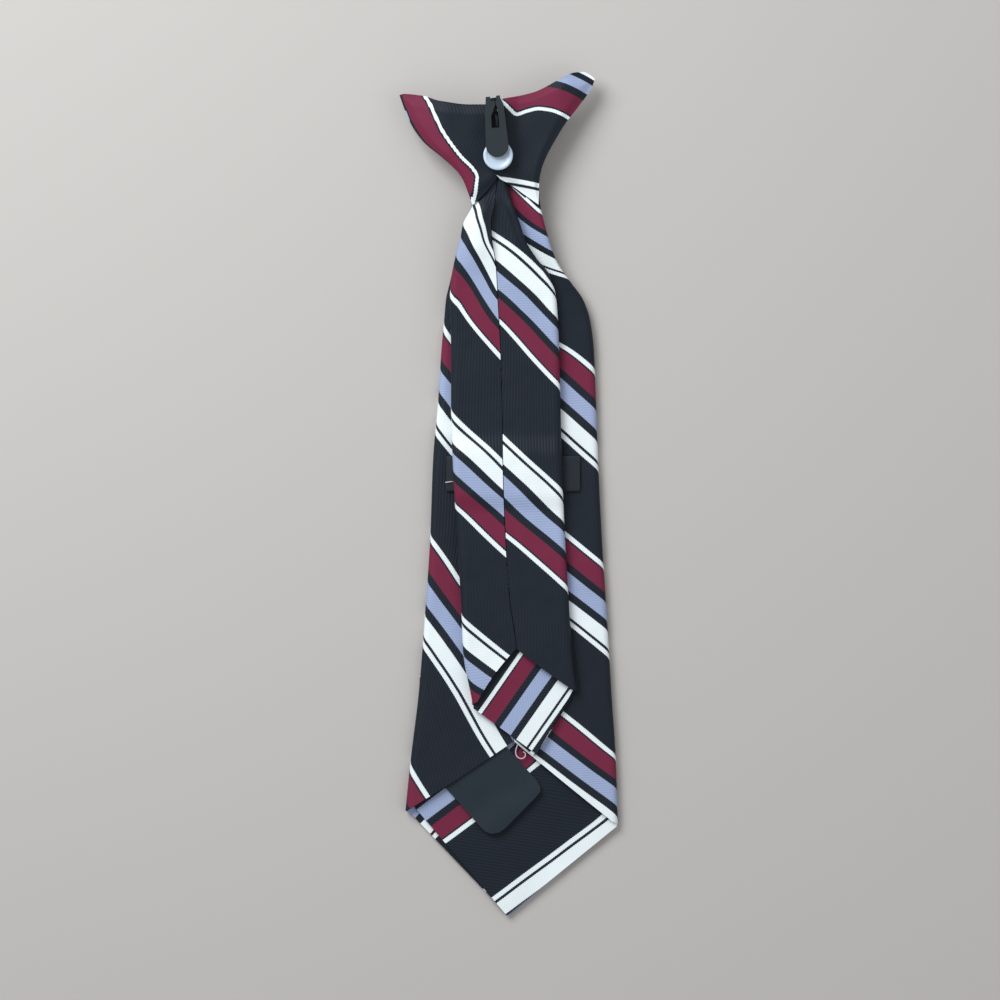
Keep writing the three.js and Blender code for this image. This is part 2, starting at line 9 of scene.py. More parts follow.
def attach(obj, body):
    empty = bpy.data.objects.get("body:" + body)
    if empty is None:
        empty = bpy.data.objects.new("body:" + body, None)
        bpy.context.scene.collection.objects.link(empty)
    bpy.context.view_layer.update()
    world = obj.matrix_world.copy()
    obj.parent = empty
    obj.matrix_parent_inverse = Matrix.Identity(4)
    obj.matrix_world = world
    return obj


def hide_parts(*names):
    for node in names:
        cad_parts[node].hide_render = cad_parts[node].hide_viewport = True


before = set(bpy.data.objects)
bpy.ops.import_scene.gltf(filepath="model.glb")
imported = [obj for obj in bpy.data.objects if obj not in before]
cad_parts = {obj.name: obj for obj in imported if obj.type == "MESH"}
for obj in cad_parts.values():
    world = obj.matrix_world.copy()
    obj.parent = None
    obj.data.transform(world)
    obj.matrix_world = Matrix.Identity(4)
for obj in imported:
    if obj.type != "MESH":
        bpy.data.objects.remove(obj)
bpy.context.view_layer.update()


# The wide blade is one bias-cut piece of striped polyester twill over a woven interlining.
# It is pressed round both sides like an envelope, so that its edges meet down the back,
# and its lower end is left open under a peaked hem.
MM = 0.001
BIAS = 0.7071
STRIPE_REPEAT = 48.32
BLADE_START = 10.33
# Bands across the stripes of one repeat: where each starts, in mm, and its thread
BANDS = (
    (0.0, "ground"), (0.2, "white"), (1.8, "ground"), (2.45, "maroon"), (7.9, "ground"), (10.3, "lavender"),
    (15.2, "ground"), (17.9, "white"), (22.65, "ground"), (23.45, "white"), (25.05, "ground"),
)
THREADS = {
    "ground": (0.0100, 0.0150, 0.0235),
    "white": (0.86, 0.93, 0.95),
    "maroon": (0.172, 0.017, 0.050),
    "lavender": (0.335, 0.405, 0.60),
}
# y, left edge, right edge, seam, room between front and flaps, rise into the knot
BLADE_ROWS = (
    (107.8, -11.5, 9.2, -2.8, 0.30, 4.5),
    (96.5, -12.1, 10.6, -1.8, 0.30, 4.5),
    (84.7, -15.4, 13.5, -1.1, 0.43, 3.9),
    (77.4, -17.8, 16.2, -0.6, 0.62, 3.1),
    (70.5, -19.5, 20.9, -0.3, 0.89, 2.1),
    (64.9, -20.8, 24.9, -0.1, 1.15, 1.3),
    (58.2, -21.4, 27.2, -0.1, 1.41, 0.7),
    (48.2, -22.3, 28.5, 0.1, 1.6, 0.2),
    (31.4, -23.4, 29.2, 0.6, 1.6, 0.0),
    (11.6, -25.1, 29.9, 0.8, 1.6, 0.0),
    (-15.2, -26.1, 31.2, 1.1, 1.6, 0.0),
    (-38.5, -27.7, 32.7, 1.3, 1.6, 0.0),
    (-65.3, -29.8, 34.3, 1.6, 1.6, 0.0),
    (-88.6, -32.6, 35.8, 1.8, 1.6, 0.0),
    (-106.2, -34.4, 36.4, 1.8, 1.6, 0.0),
)
LEFT, RIGHT, SEAM, ROOM, RISE = 1, 2, 3, 4, 5
# The open hem: where the flaps part, both corners, the point, its share of the way across, the fold's cut
BLADE_HEM = {"apex": -82.2, "corners": (-104.4, -108.9), "point": -140.5, "tip_share": 0.487, "turn": 1.8}
CLOTH = 1.0
WALL = 0.9
PRESSED = 0.3
SEAM_GAP = 0.12


def along(rows, column, y):
    """Smooth value of one column of a table at any height, which never swings past its rows."""
    rows = sorted(rows)
    if y <= rows[0][0]:
        return rows[0][column]
    if y >= rows[-1][0]:
        return rows[-1][column]
    k = max(i for i, row in enumerate(rows[:-1]) if row[0] <= y)

    def grade(i):
        return (rows[i + 1][column] - rows[i][column]) / (rows[i + 1][0] - rows[i][0])

    def slope(i):
        if i == 0 or i == len(rows) - 1:
            return grade(min(i, len(rows) - 2))
        a, b = grade(i - 1), grade(i)
        return 2 * a * b / (a + b) if a * b > 0 else 0

    step = rows[k + 1][0] - rows[k][0]
    t = (y - rows[k][0]) / step
    rise = rows[k + 1][column] - rows[k][column]
    low, high = slope(k) * step, slope(k + 1) * step
    return rows[k][column] + t * low + t * t * (3 * rise - 2 * low - high) + t ** 3 * (low + high - 2 * rise)


def ease(x, start, end):
    t = min(1.0, max(0.0, (x - start) / (end - start)))
    return t * t * (3 - 2 * t)


def mix(a, b, t):
    return a + (b - a) * t


def ripple(x, y, size, seed):
    return noise.noise(Vector((x / size, y / size, seed)))


def sheet_mesh(name, columns, rows, place, outward=True):
    """A sheet of cloth, woven as a grid of so many columns and rows. place(i, j) gives each point in mm
    and its threads: how far it lies across the stripes and along them."""
    mesh = bpy.data.meshes.new(name)
    bm = bmesh.new()
    bmesh.ops.create_grid(bm, x_segments=columns, y_segments=rows, size=0.5)
    weave = bm.verts.layers.float_vector.new("weave")
    for v in bm.verts:
        point, threads = place(round((v.co.x + 0.5) * columns), round((0.5 - v.co.y) * rows))
        v.co = Vector(point) * MM
        v[weave] = Vector((*threads, 0))
    if not outward:
        bmesh.ops.reverse_faces(bm, faces=bm.faces)
    for face in bm.faces:
        face.smooth = True
    bm.to_mesh(mesh)
    bm.free()
    piece = bpy.data.objects.new(name, mesh)
    bpy.context.scene.collection.objects.link(piece)
    return piece


def thicken(piece, thickness, rounding):
    wall = piece.modifiers.new("wall", "SOLIDIFY")
    wall.thickness = thickness * MM
    wall.offset = -1.0
    edge = piece.modifiers.new("pressed_edge", "BEVEL")
    edge.width = rounding * MM
    edge.segments = 3
    edge.limit_method = "ANGLE"
    edge.angle_limit = math.radians(50)
    edge.harden_normals = True
    return piece


def turned(side, x, y, fold_line, arc):
    """Where a point of a flap lay on the flat cloth, before it was folded over at its fold line."""
    line, lean = fold_line(side, y)
    hand = 1 if side == RIGHT else -1
    d = (line - x) * hand + arc
    return line + hand * d * math.cos(2 * lean), y - hand * d * math.sin(2 * lean)


def envelope(name, rows, counts, hem, level, fold_line, thread, relief):
    """One cloth folded round both sides, its edges meeting down the middle of the back."""
    apex, corners, point, tip_share, turn = (hem[key] for key in ("apex", "corners", "point", "tip_share", "turn"))
    flap, fold, front, long_rows, point_rows = counts
    zones = (
        [("left_flap", (k / flap) ** 1.2) for k in range(flap)]
        + [("left_fold", k / fold) for k in range(fold)]
        + [("front", k / front) for k in range(front)]
        + [("right_fold", k / fold) for k in range(fold)]
        + [("right_flap", 1 - (1 - k / flap) ** 1.2) for k in range(flap + 1)]
    )
    top = rows[0][0]
    end = apex + 5.0

    def lower_end(zone, u):
        if zone == "left_flap":
            return mix(apex, corners[0], u)
        if zone == "left_fold":
            return corners[0] - turn * u
        if zone == "right_fold":
            return corners[1] - turn * (1 - u)
        if zone == "right_flap":
            return mix(corners[1], apex, u)
        if u < tip_share:
            return mix(corners[0] - turn, point, u / tip_share)
        return mix(point, corners[1] - turn, (u - tip_share) / (1 - tip_share))

    def place(i, j):
        zone, u = zones[i]
        if j <= long_rows:
            y = mix(top, end, j / long_rows)
        else:
            share = (j - long_rows) / point_rows
            y = mix(end, lower_end(zone, u), 1 - (1 - share) ** 1.15)
        left, right, seam = (along(rows, c, y) for c in (LEFT, RIGHT, SEAM))
        height = 2 * CLOTH + along(rows, ROOM, y)
        r = height / 2
        quarter = r * math.pi / 2
        arc = quarter - r
        inner, outer = left + quarter, right - quarter
        if zone == "left_flap":
            x, z = mix(seam - SEAM_GAP, left + r, u), height
            flat = turned(LEFT, x, y, fold_line, arc)
        elif zone == "left_fold":
            x, z = left + r - r * math.sin(math.pi * u), r + r * math.cos(math.pi * u)
            flat = Vector(turned(LEFT, left + r, y, fold_line, arc)).lerp((inner, y), u)
        elif zone == "front":
            x, z = mix(left + r, right - r, u), 0.0
            flat = (mix(inner, outer, u), y)
        elif zone == "right_fold":
            x, z = right - r + r * math.sin(math.pi * u), r - r * math.cos(math.pi * u)
            flat = Vector((outer, y)).lerp(turned(RIGHT, right - r, y, fold_line, arc), u)
        else:
            x, z = mix(right - r, seam + SEAM_GAP, u), height
            flat = turned(RIGHT, x, y, fold_line, arc)
        z += level(x, y) + (0.0 if zone == "front" else relief(x, y, left, right, seam))
        share = {"left_flap": 0.0, "left_fold": 0.0, "front": u, "right_fold": 1.0, "right_flap": 1.0}[zone]
        inward = 1 - u if zone == "left_flap" else u if zone == "right_flap" else 0.0
        return (x, y, z), thread(flat, share, y, (x - left) / (right - left), inward)

    return sheet_mesh(name, len(zones) - 1, long_rows + point_rows, place, outward=False)


class Wire:
    """One socket in a finish. Arithmetic on it adds Math nodes, and make() adds any other node."""

    def __init__(self, socket):
        self.socket = socket

    def make(self, kind, settings=None, values=None, out=0):
        tree = self.socket.id_data
        node = tree.nodes.new("ShaderNode" + kind)
        for name, value in (settings or {}).items():
            if name == "stops":
                ramp = node.color_ramp
                while len(ramp.elements) > 1:
                    ramp.elements.remove(ramp.elements[-1])
                for k, (position, colour) in enumerate(value):
                    stop = ramp.elements[0] if k == 0 else ramp.elements.new(position)
                    stop.position, stop.color = position, (*colour, 1)
            elif name == "interpolation":
                node.color_ramp.interpolation = value
            else:
                setattr(node, name, value)
        for name, value in (values or {}).items():
            if isinstance(value, Wire):
                tree.links.new(value.socket, node.inputs[name])
            else:
                node.inputs[name].default_value = value
        return Wire(node.outputs[out])

    def math(self, operation, a, b=0.0):
        return self.make("Math", {"operation": operation}, {0: a, 1: b})

    def __add__(self, other):
        return self.math("ADD", self, other)

    def __radd__(self, other):
        return self.math("ADD", other, self)

    def __sub__(self, other):
        return self.math("SUBTRACT", self, other)

    def __rsub__(self, other):
        return self.math("SUBTRACT", other, self)

    def __mul__(self, other):
        return self.math("MULTIPLY", self, other)

    def __rmul__(self, other):
        return self.math("MULTIPLY", other, self)

    def __truediv__(self, other):
        return self.math("DIVIDE", self, other)

    def wave(self, pitch):
        """0 to 1 and back, once every pitch."""
        return self.math("SINE", self * (2 * math.pi / pitch)) * 0.5 + 0.5

    def scale(self, colour):
        """A colour, made lighter or darker by this."""
        return self.make("VectorMath", {"operation": "SCALE"}, {0: colour, "Scale": self})


def finish(name, roughness, **sockets):
    """A new material: its Principled BSDF, and a wire to start its nodes from."""
    material = bpy.data.materials.new(name)
    material.use_nodes = True
    shader = material.node_tree.nodes["Principled BSDF"]
    shader.inputs["Roughness"].default_value = roughness
    for socket, value in sockets.items():
        shader.inputs[socket.replace("_", " ")].default_value = value
    return material, shader, Wire(shader.outputs[0])


def plug(shader, **wires):
    for socket, wire in wires.items():
        wire.socket.id_data.links.new(wire.socket, shader.inputs[socket.replace("_", " ")])


def woven_places(wire):
    """The two places that each piece's weave attribute holds, across the stripes and along them."""
    weave = wire.make("Attribute", {"attribute_name": "weave"}, out="Vector")
    across = wire.make("SeparateXYZ", values={0: weave})
    return across, Wire(across.socket.node.outputs["Y"])


def striped_twill(name):
    """Repp stripes: ribbed ground, smoother coloured bands, each thread's edge stepped by the twill."""
    material, shader, wire = finish(name, 0.5, Sheen_Weight=0.02, Sheen_Roughness=0.4, Specular_IOR_Level=0.18)
    across, lengthwise = woven_places(wire)
    place = wire.make("TexCoord", out="Object")
    mottle = wire.make("TexNoise", values={"Vector": place, "Scale": 60.0, "Detail": 3.0})
    step = (lengthwise / 0.7).math("FRACT", lengthwise / 0.7) * 0.22
    stepped = across + step + (mottle - 0.5) * 0.35 - 0.11
    share = (stepped / STRIPE_REPEAT).math("FRACT", stepped / STRIPE_REPEAT)

    def bands(values):
        stops = [(start / STRIPE_REPEAT, values[thread]) for start, thread in BANDS]
        return wire.make("ValToRGB", {"interpolation": "CONSTANT", "stops": stops}, {0: share})

    colour = bands(THREADS)
    kind = bands({
        "ground": (1.0, 0.0, 0.0), "white": (0.0, 0.35, 0.1),
        "maroon": (0.3, 0.25, 0.0), "lavender": (0.0, 1.0, 0.0),
    })
    parts = wire.make("SeparateColor", values={0: kind})
    ribbed, hatched = parts, Wire(parts.socket.node.outputs["Green"])
    rib = ((lengthwise + across) * BIAS).wave(1.0)
    hatch = ((lengthwise - across) * BIAS).wave(0.85)
    yarn = lengthwise.wave(0.34)
    relief = rib * ribbed + hatch * hatched * 0.8 + yarn * 0.25
    shade = 0.90 + relief * 0.10 + (mottle - 0.5) * 0.16
    lit = shade.scale(colour)
    bump = wire.make("Bump", values={"Strength": 0.45, "Distance": 0.00014, "Height": relief})
    gloss = 0.62 - ribbed * 0.1 - hatched * 0.08 + (mottle - 0.5) * 0.15
    plug(shader, Base_Color=lit, Roughness=gloss, Normal=bump)
    return material


twill = striped_twill("striped_twill")


# How far the stripes are pulled along each flap, in mm: y, left fold, left seam, right fold, right seam
BLADE_PULL = (
    (101.0, 0.0, 0.0, 0.0, 4.0), (92.0, 0.0, 0.0, 0.9, 6.2), (84.0, 0.0, 0.0, 3.0, 6.6),
    (75.0, -1.0, -1.0, 3.6, 7.8), (65.0, -2.0, -2.0, 2.0, 4.0), (50.0, -2.4, -2.4, -1.0, -1.0),
    (10.0, -1.0, -1.0, -1.5, -1.2), (-15.0, -0.4, -0.8, -0.6, -0.2), (-30.0, -0.8, -1.8, -0.6, 0.2),
    (-50.0, -0.3, -1.2, 0.1, 1.2), (-72.0, -0.3, -0.9, 0.4, 0.8), (-87.0, -0.6, -0.9, -0.4, 0.6),
    (-98.0, -0.3, -0.6, 0.0, 0.0), (-104.0, -0.1, -0.1, 0.2, 0.2),
)


def pulled(table, y, share, inward):
    """The pull at a place: share runs from the left side of the front to the right, inward from fold to seam."""
    left = mix(along(table, 1, y), along(table, 2, y), inward)
    return mix(left, mix(along(table, 3, y), along(table, 4, y), inward), share)


def blade_fold(side, y):
    """The fold line at that height, and its turn from the tie's own axis."""
    lean = math.atan((along(BLADE_ROWS, side, y + 4) - along(BLADE_ROWS, side, y - 4)) / 8)
    return along(BLADE_ROWS, side, y), lean * (mix(1.0, 0.5, ease(y, 55, 75)) if side == RIGHT else 1.0)


def blade_thread(flat, share, y, across, inward):
    x, up = flat
    pull = pulled(BLADE_PULL, y, share, inward)
    eased = 2.5 * (2 * across - 1) * ease(-y, 82, 106)
    return (x - up + eased) * BIAS + BLADE_START + pull, (x + up) * BIAS


def blade_level(x, y):
    """It rises into the knot, and swells beside the tail that lies on it."""
    tail_edge = along(TAIL_ROWS, RIGHT, y)
    beside = ease(x, tail_edge + 0.3, tail_edge + 5.7)
    fade = 1 - ease(96.5 - y, 7, 31)
    return along(BLADE_ROWS, RISE, y) + 1.8 * beside * fade


def blade_relief(x, y, left, right, seam):
    soft = 0.25 * ripple(x, y, 14, 1.3) + 0.12 * ripple(x, y, 5, 4.1)
    return soft * ease(min(x - left, right - x), 0.0, 5.0)


# The tail, which the blade swells beside: y, left edge, right edge, seam, room between front and flaps
TAIL_ROWS = (
    (107.9, -10.1, -1.8, -3.4, 0.30),
    (96.5, -11.8, 1.5, -4.6, 0.30),
    (89.9, -15.1, 3.9, -5.7, 0.43),
    (84.8, -16.1, 5.5, -5.5, 0.56),
    (78.2, -17.8, 9.6, -4.4, 0.82),
    (73.2, -18.8, 13.6, -3.9, 1.08),
    (64.8, -19.5, 16.0, -3.5, 1.47),
    (48.1, -19.1, 16.9, -2.6, 1.6),
    (28.1, -19.1, 17.4, -2.1, 1.6),
    (8.1, -18.4, 17.9, -1.8, 1.6),
    (-15.4, -17.1, 18.9, -0.9, 1.6),
    (-35.3, -15.8, 20.1, 0.5, 1.6),
    (-52.0, -15.1, 21.2, 2.6, 1.6),
    (-68.7, -12.1, 23.4, 2.6, 1.6),
)

blade = envelope(
    "wide_blade", BLADE_ROWS, (30, 6, 50, 170, 36), BLADE_HEM, blade_level, blade_fold, blade_thread, blade_relief,
)
thicken(blade, WALL, PRESSED)
blade.data.materials.append(twill)
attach(blade, "tie")
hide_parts("front_blade")


# The facing closes the inside of the wide blade's point. It is a scrap of the same striped cloth with
# its stripes turned the other way, slipped under both flaps and caught in the hem.
BLADE_FACING = ((-29.5, -60.3), (-31.2, -104.2), (-0.5, -140.3), (36.2, -110.5), (32.6, -60.3))


def cut_sheet(name, outline, pitch, shape, threads):
    """A flat piece cut out of cloth along its outline, which runs round it, then laid to shape(x, y)."""
    xs, ys = [p[0] for p in outline], [p[1] for p in outline]
    mesh = bpy.data.meshes.new(name)
    bm = bmesh.new()
    bmesh.ops.create_grid(
        bm, x_segments=round((max(xs) - min(xs)) / pitch), y_segments=round((max(ys) - min(ys)) / pitch), size=0.5
    )
    bmesh.ops.scale(bm, vec=(max(xs) - min(xs), max(ys) - min(ys), 1), verts=bm.verts)
    bmesh.ops.translate(bm, vec=((max(xs) + min(xs)) / 2, (max(ys) + min(ys)) / 2, 0), verts=bm.verts)
    middle = Vector((sum(xs) / len(xs), sum(ys) / len(ys), 0))
    for a, b in zip(outline, outline[1:] + outline[:1]):
        start, run = Vector((*a, 0)), Vector((b[0] - a[0], b[1] - a[1], 0))
        away = Vector((run.y, -run.x, 0)).normalized()
        if away.dot(middle - start) > 0:
            away = -away
        bmesh.ops.bisect_plane(
            bm, geom=[*bm.verts, *bm.edges, *bm.faces], dist=1e-4, plane_co=start, plane_no=away, clear_outer=True
        )
    weave = bm.verts.layers.float_vector.new("weave")
    for v in bm.verts:
        v[weave] = Vector((*threads(v.co.x, v.co.y), 0))
        v.co = Vector((v.co.x, v.co.y, shape(v.co.x, v.co.y))) * MM
    for face in bm.faces:
        face.smooth = True
    bm.to_mesh(mesh)
    bm.free()
    piece = bpy.data.objects.new(name, mesh)
    bpy.context.scene.collection.objects.link(piece)
    return piece


def turned_stripes(angle, start):
    """Threads of a flat piece whose stripes run at that angle, the first band starting at a point."""
    run = math.radians(angle)
    along_x, along_y = math.cos(run), math.sin(run)

    def threads(x, y):
        x, y = x - start[0], y - start[1]
        return -x * along_y + y * along_x, x * along_x + y * along_y

    return threads


facing_stripes = turned_stripes(36.6, (-21.25, -117.0))


def facing_threads(x, y):
    across, run = facing_stripes(x, y)
    # Near the label's top the stripes are pulled 1.2 mm further, so that black ground lies there as painted shade
    # by the label and the hem.
    return across - (2.3 * ease(x, -12, 10) + 1.2 * ease(y, -90, -84)) * ease(y, -110, -95), run


def facing_height(x, y):
    return 1.75 + 0.25 * ripple(x, y, 13, 7.7)


facing = cut_sheet("wide_facing", BLADE_FACING, 1.0, facing_height, facing_threads)
thicken(facing, 0.5, 0.15)
facing.data.materials.append(twill)
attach(facing, "tie")
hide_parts("front_tipping")


# The keeper is a plain black band pressed in three and stitched at both ends to the wide blade's
# flaps. The tail is passed through it.
def plain_cloth(name, colour, pitch, roughness):
    """Cloth or thread of one colour, with its fine weave at that pitch in mm."""
    material, shader, wire = finish(name, roughness, Sheen_Weight=0.03, Specular_IOR_Level=0.2)
    weft, warp = woven_places(wire)
    place = wire.make("TexCoord", out="Object")
    mottle = wire.make("TexNoise", values={"Vector": place, "Scale": 90.0, "Detail": 3.0})
    relief = warp.wave(pitch) * 0.7 + weft.wave(pitch * 1.3) * 0.3
    shade = 0.88 + relief * 0.14 + (mottle - 0.5) * 0.2
    lit = shade.scale(colour)
    bump = wire.make("Bump", values={"Strength": 0.35, "Distance": 0.00006, "Height": relief})
    plug(shader, Base_Color=lit, Roughness=roughness + (mottle - 0.5) * 0.2, Normal=bump)
    return material


plain_black = plain_cloth("plain_black_cloth", (0.017, 0.023, 0.030), 0.6, 0.6)
KEEPER = ((-20.7, 0.9), (23.9, 0.9), (23.9, 12.9), (-20.7, 12.9))
KEEPER_MIDDLE = (1.5, 6.9)


def keeper_height(x, y):
    """It lies down toward its stitched ends and its pressed edges."""
    ends = 0.35 * ease(abs(x - KEEPER_MIDDLE[0]), 22.5, 19)
    edges = 0.25 * ease(abs(y - KEEPER_MIDDLE[1]), 5.2, 6.0)
    return 4.5 + ends + 0.1 * ripple(x, y, 6, 2.2) - edges


def keeper_threads(x, y):
    return x, y


keeper = cut_sheet("keeper_band", KEEPER, 0.6, keeper_height, keeper_threads)
thicken(keeper, 0.8, 0.3)
keeper.data.materials.append(plain_black)
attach(keeper, "tie")
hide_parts("keeper_loop")


# The care label is black satin ribbon folded double and sewn under the left flap's hem. Its words are
# left off.
LABEL = (
    (-21.3, -97.2), (-0.8, -84.0), (9.4, -95.2), (10.6, -97.3), (10.7, -98.9), (9.3, -100.6),
    (-0.9, -111.0), (-3.2, -112.6), (-5.6, -113.0), (-7.6, -112.3), (-9.0, -111.0),
)
label_satin = plain_cloth("label_satin", (0.017, 0.027, 0.036), 0.5, 0.42)


def label_threads(x, y):
    run = math.radians(43)
    return x * math.cos(run) + y * math.sin(run), -x * math.sin(run) + y * math.cos(run)


def label_height(x, y):
    """It rises off the facing toward its folded end."""
    down, over = math.cos(math.radians(34)), math.sin(math.radians(34))
    away = (x + 10.3) * over - (y + 90.5) * down
    return 2.65 + 0.9 * ease(away, 8, 21) + 0.15 * ripple(x, y, 8, 9.4)


label = cut_sheet("label_ribbon", LABEL, 0.7, label_height, label_threads)
thicken(label, 0.5, 0.2)
label.data.materials.append(label_satin)
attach(label, "tie")
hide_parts("care_label")


# The narrow blade, or tail, is made as the wide one is and lies on it, through the keeper. Both run up
# into the knot, where the tail is bunched so that a deep hollow opens beside its seam.
TAIL_HEM = {"apex": -51.3, "corners": (-68.9, -64.8), "point": -87.3, "tip_share": 0.6, "turn": 1.8}
TAIL_START = -9.74
# y, turn of the left fold and of the right one from the tie's own axis, in degrees
TAIL_LEAN = (
    (-60.0, -3.0, -3.0), (-15.0, -1.5, -1.5), (20.0, 0.0, -0.5), (48.0, 3.0, -1.5), (60.0, 4.5, -3.0),
    (73.0, 10.0, -3.0), (85.0, 16.5, -3.0), (100.0, 17.0, -3.0),
)
# Above this height the right fold is rolled under, and its stripes keep to the straight fold line
TAIL_ROLL = 62.0
# y, pull at the left fold, left seam, right fold, right seam
TAIL_PULL = (
    (96.0, 5.5, 1.0, -3.0, -3.0), (92.0, 3.5, 0.4, -3.0, -1.6), (88.0, 2.3, 0.8, -3.0, -1.6),
    (80.0, -0.2, 2.3, -3.0, -2.6), (72.0, -1.8, 1.6, -2.4, -3.0), (65.0, -2.5, 0.5, -1.9, -4.3),
    (57.0, -1.9, 0.2, -1.6, -5.2), (48.0, -0.8, -0.1, -1.6, -4.2), (36.0, 0.3, -0.1, -1.7, -2.6),
    (26.0, 1.0, 0.1, -1.5, -1.5), (17.0, 1.5, 0.5, -1.2, -1.0), (4.0, 1.2, 2.0, -1.2, -0.9),
    (-7.0, 0.4, 1.4, -0.4, -0.2), (-20.0, 1.5, 1.8, -0.8, -1.2), (-38.0, 3.3, 2.6, -0.3, -0.6),
    (-48.0, 3.6, 3.0, 0.6, 1.4), (-54.0, 3.8, 3.2, 2.2, 2.4), (-64.0, 5.3, 4.4, 2.6, 2.4),
)
# How the rolled left flap's stripes turn into the knot: y, across them at its fold and at its seam, curve
NECK_TWIST = (
    (100.0, 27.0, 33.0, 1.1), (96.2, 24.0, 31.0, 1.1), (89.5, 19.0, 27.3, 1.1), (84.8, 16.0, 26.5, 1.1),
    (77.8, 10.6, 23.7, 1.2), (68.5, 4.1, 18.7, 1.35), (64.3, 1.2, 15.0, 1.2), (59.2, -2.5, 10.3, 1.0),
    (55.0, -5.7, 6.6, 1.0),
)


def tail_fold(side, y):
    line = along(TAIL_ROWS, side, y)
    if side == RIGHT and y > TAIL_ROLL:
        line = along(TAIL_ROWS, side, TAIL_ROLL)
    return line, math.radians(along(TAIL_LEAN, side, y))


def tail_thread(flat, share, y, _across, inward):
    x, up = flat
    plain = (up - x) * BIAS + TAIL_START + pulled(TAIL_PULL, y, share, inward)
    neck = ease(y, 57, 65)
    if neck > 0 and share < 1:
        at_fold, at_seam, curve = (along(NECK_TWIST, c, y) for c in (1, 2, 3))
        at_fold, at_seam = at_fold + STRIPE_REPEAT, at_seam + STRIPE_REPEAT
        if inward > 0:
            plain = mix(plain, mix(at_fold, at_seam, inward ** curve), neck)
        else:
            radius = CLOTH + along(TAIL_ROWS, ROOM, y) / 2
            fold = turned(LEFT, along(TAIL_ROWS, LEFT, y) + radius, y, tail_fold, radius * (math.pi / 2 - 1))
            unpulled = (fold[1] - fold[0]) * BIAS + TAIL_START + pulled(TAIL_PULL, y, 0.0, 0.0)
            plain += (at_fold - unpulled) * neck * (1 - share)
    return plain, -(x + up) * BIAS


def tail_level(x, y):
    """It lies on the wide blade and humps over the keeper."""
    hump = 1.3 * (1 - ease(abs(y - KEEPER_MIDDLE[1]), 6.3, 13.3))
    return along(BLADE_ROWS, RISE, y) + 2 * CLOTH + along(BLADE_ROWS, ROOM, y) + 0.3 + hump


def tail_relief(x, y, left, right, seam):
    """Soft creases, and at the neck the left flap's roll, the hollow beside it and the right fold's ridge."""
    neck = ease(y, 70, 86) * (1 - ease(y, 94, 100))
    soft = 0.2 * ripple(x, y, 11, 5.3) + 0.1 * ripple(x, y, 4, 8.1)
    soft *= ease(min(x - left, right - x), 0.0, 4.0) * (1 - ease(y, 94, 100))
    if x < seam:
        return soft + 2.2 * neck * math.sin(0.72 * math.pi * ease(x, left - 0.5, seam))
    hollow = ease(x, seam, seam + 1.5) * (1 - ease(x, right - 3.5, right - 0.5))
    return soft - neck * 0.45 * hollow + neck * 0.7 * ease(x, right - 4.0, right - 1.0)


tail = envelope(
    "narrow_blade", TAIL_ROWS, (22, 6, 26, 150, 22), TAIL_HEM, tail_level, tail_fold, tail_thread, tail_relief,
)
thicken(tail, WALL, PRESSED)
tail.data.materials.append(twill)
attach(tail, "tie")
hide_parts("tail_blade")


# The tail's own facing: a scrap of the striped cloth inside its point, with the stripes turned and drawn
# in a little, caught in the hem as the wide blade's is.
TAIL_FACING = ((-13.6, -35.3), (-11.6, -71.2), (9.4, -86.4), (21.6, -64.9), (18.3, -35.3))
tail_facing_stripes = turned_stripes(-125.0, (3.7, -52.0))


def tail_facing_threads(x, y):
    across, run = tail_facing_stripes(x, y)
    return across * 1.12, run


def tail_facing_height(x, y):
    return 5.6 + 0.2 * ripple(x, y, 9, 3.7)


tail_facing = cut_sheet("narrow_facing", TAIL_FACING, 0.8, tail_facing_height, tail_facing_threads)
thicken(tail_facing, 0.5, 0.15)
tail_facing.data.materials.append(twill)
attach(tail_facing, "tie")
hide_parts("tail_tipping")


# The knot is a padded wrap of the same cloth, sewn up for good: full at its top, thin at its mouth,
# where the two blades come out behind its front.
# y, left edge, right edge, how far its front stands off the floor
KNOT_ROWS = (
    (96.5, -10.9, 9.3, 1.5), (97.8, -11.3, 9.7, 0.42), (103.0, -11.9, 10.0, 0.0), (111.2, -14.2, 11.6, 0.0),
    (119.3, -16.8, 14.3, 0.0), (125.8, -19.1, 16.7, 0.5), (129.1, -18.9, 16.5, 3.15),
)
KNOT_MOUTH, KNOT_SHOULDER, KNOT_TOP = 96.5, 125.8, 129.1
KNOT_BACK, KNOT_SQUARE = 9.2, 0.72
KNOT_AROUND, KNOT_UP = 120, 60


def knot_place(i, j):
    """Round the knot from the middle of its back, and up it from its mouth, which is cut higher behind."""
    angle = 2 * math.pi * i / KNOT_AROUND
    across = math.copysign(abs(math.sin(angle)) ** KNOT_SQUARE, math.sin(angle))
    out = math.copysign(abs(math.cos(angle)) ** KNOT_SQUARE, math.cos(angle))
    mouth = KNOT_MOUTH + 9.5 * ease(out, -0.2, 0.8) * max(0.0, 1 - abs(across + 0.25) / 1.1)
    y = mix(mouth, KNOT_TOP, j / KNOT_UP)
    left, right, front = (along(KNOT_ROWS, c, y) for c in (1, 2, 3))
    back = KNOT_BACK - 2.1 * ease(y, KNOT_SHOULDER, KNOT_TOP)
    return mix(left, right, (across + 1) / 2), y, mix(front, back, (out + 1) / 2)


def knot_threads(x, y):
    return (x * 0.62 + y * 0.79), (x * 0.79 - y * 0.62)


